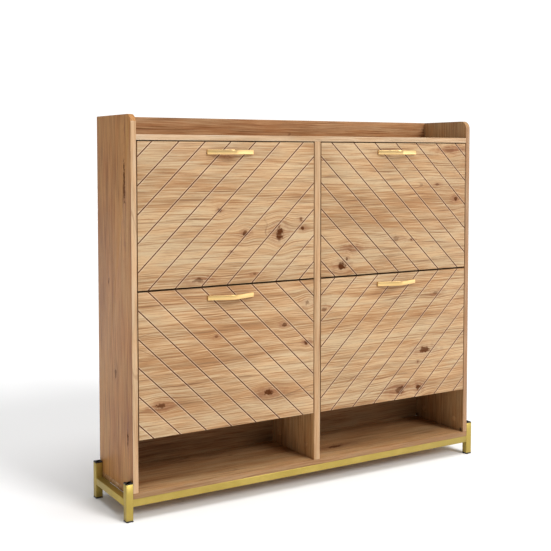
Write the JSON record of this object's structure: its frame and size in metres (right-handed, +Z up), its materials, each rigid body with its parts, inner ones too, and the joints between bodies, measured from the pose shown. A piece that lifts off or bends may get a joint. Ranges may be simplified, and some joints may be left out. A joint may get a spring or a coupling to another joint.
{
  "type": "shoe cabinet",
  "caption": "Slim oak-board shoe cabinet with grooved tilt-out drawers over open bays, on a gold square-tube base with bow handles.",
  "frame": {"origin": "on the floor, in the middle of the overall width and of the overall depth, handles included", "axes": "+Z up, +X to the right as seen from the front, -Y out of the front where the drawers tilt"},
  "size_m": [1.2, 0.2679, 1.075],
  "materials": {
    "oak_board": "satin oak-grain foil on particle board",
    "back_sheet": "matt oak-grain foil on thin hardboard",
    "gold_metal": "satin gold coating",
    "black_plastic": "fine moulded texture",
    "zinc_steel": "zinc plated"
  },
  "bodies": {
    "carcass": {"back_panel_left": "back_sheet", "back_panel_nails": "zinc_steel", "back_panel_right": "back_sheet", "base_front_rail": "gold_metal", "base_rear_rail": "gold_metal", "base_side_rail_left": "gold_metal", "base_side_rail_right": "gold_metal", "bottom_board": "oak_board", "cam_fittings": "zinc_steel", "carcass_screws": "zinc_steel", "centre_divider": "oak_board", "deck_lower_left": "oak_board", "deck_lower_right": "oak_board", "deck_upper_left": "oak_board", "deck_upper_right": "oak_board", "foot_plugs": "black_plastic", "gallery_board": "oak_board", "left_side_panel": "oak_board", "leg_caps": "black_plastic", "leg_front_left": "gold_metal", "leg_front_right": "gold_metal", "leg_rear_left": "gold_metal", "leg_rear_right": "gold_metal", "magnetic_catches": "black_plastic", "pivot_bushes": "black_plastic", "right_side_panel": "oak_board", "stop_pegs": "zinc_steel", "top_board": "oak_board"},
    "drawer_lower_left": {"bracket_inner_lower_left": "black_plastic", "bracket_outer_lower_left": "black_plastic", "door_lower_left": "oak_board", "handle_lower_left": "gold_metal", "hardware_lower_left": "zinc_steel", "sole_lower_slat_lower_left": "oak_board", "sole_upper_slat_lower_left": "oak_board", "toe_slats_lower_left": "oak_board"},
    "drawer_lower_right": {"bracket_inner_lower_right": "black_plastic", "bracket_outer_lower_right": "black_plastic", "door_lower_right": "oak_board", "handle_lower_right": "gold_metal", "hardware_lower_right": "zinc_steel", "sole_lower_slat_lower_right": "oak_board", "sole_upper_slat_lower_right": "oak_board", "toe_slats_lower_right": "oak_board"},
    "drawer_upper_left": {"bracket_inner_upper_left": "black_plastic", "bracket_outer_upper_left": "black_plastic", "door_upper_left": "oak_board", "handle_upper_left": "gold_metal", "hardware_upper_left": "zinc_steel", "sole_lower_slat_upper_left": "oak_board", "sole_upper_slat_upper_left": "oak_board", "toe_slats_upper_left": "oak_board"},
    "drawer_upper_right": {"bracket_inner_upper_right": "black_plastic", "bracket_outer_upper_right": "black_plastic", "door_upper_right": "oak_board", "handle_upper_right": "gold_metal", "hardware_upper_right": "zinc_steel", "sole_lower_slat_upper_right": "oak_board", "sole_upper_slat_upper_right": "oak_board", "toe_slats_upper_right": "oak_board"}
  },
  "joints": [
    {"name": "tilt_lower_left", "type": "hinge", "parent": "carcass", "child": "drawer_lower_left", "pos_m": [-0.2875, -0.083, 0.29], "axis": [1, 0, 0], "range_deg": [0, 50]},
    {"name": "tilt_lower_right", "type": "hinge", "parent": "carcass", "child": "drawer_lower_right", "pos_m": [0.2875, -0.083, 0.29], "axis": [1, 0, 0], "range_deg": [0, 50]},
    {"name": "tilt_upper_left", "type": "hinge", "parent": "carcass", "child": "drawer_upper_left", "pos_m": [-0.2875, -0.083, 0.687], "axis": [1, 0, 0], "range_deg": [0, 50]},
    {"name": "tilt_upper_right", "type": "hinge", "parent": "carcass", "child": "drawer_upper_right", "pos_m": [0.2875, -0.083, 0.687], "axis": [1, 0, 0], "range_deg": [0, 50]}
  ]
}
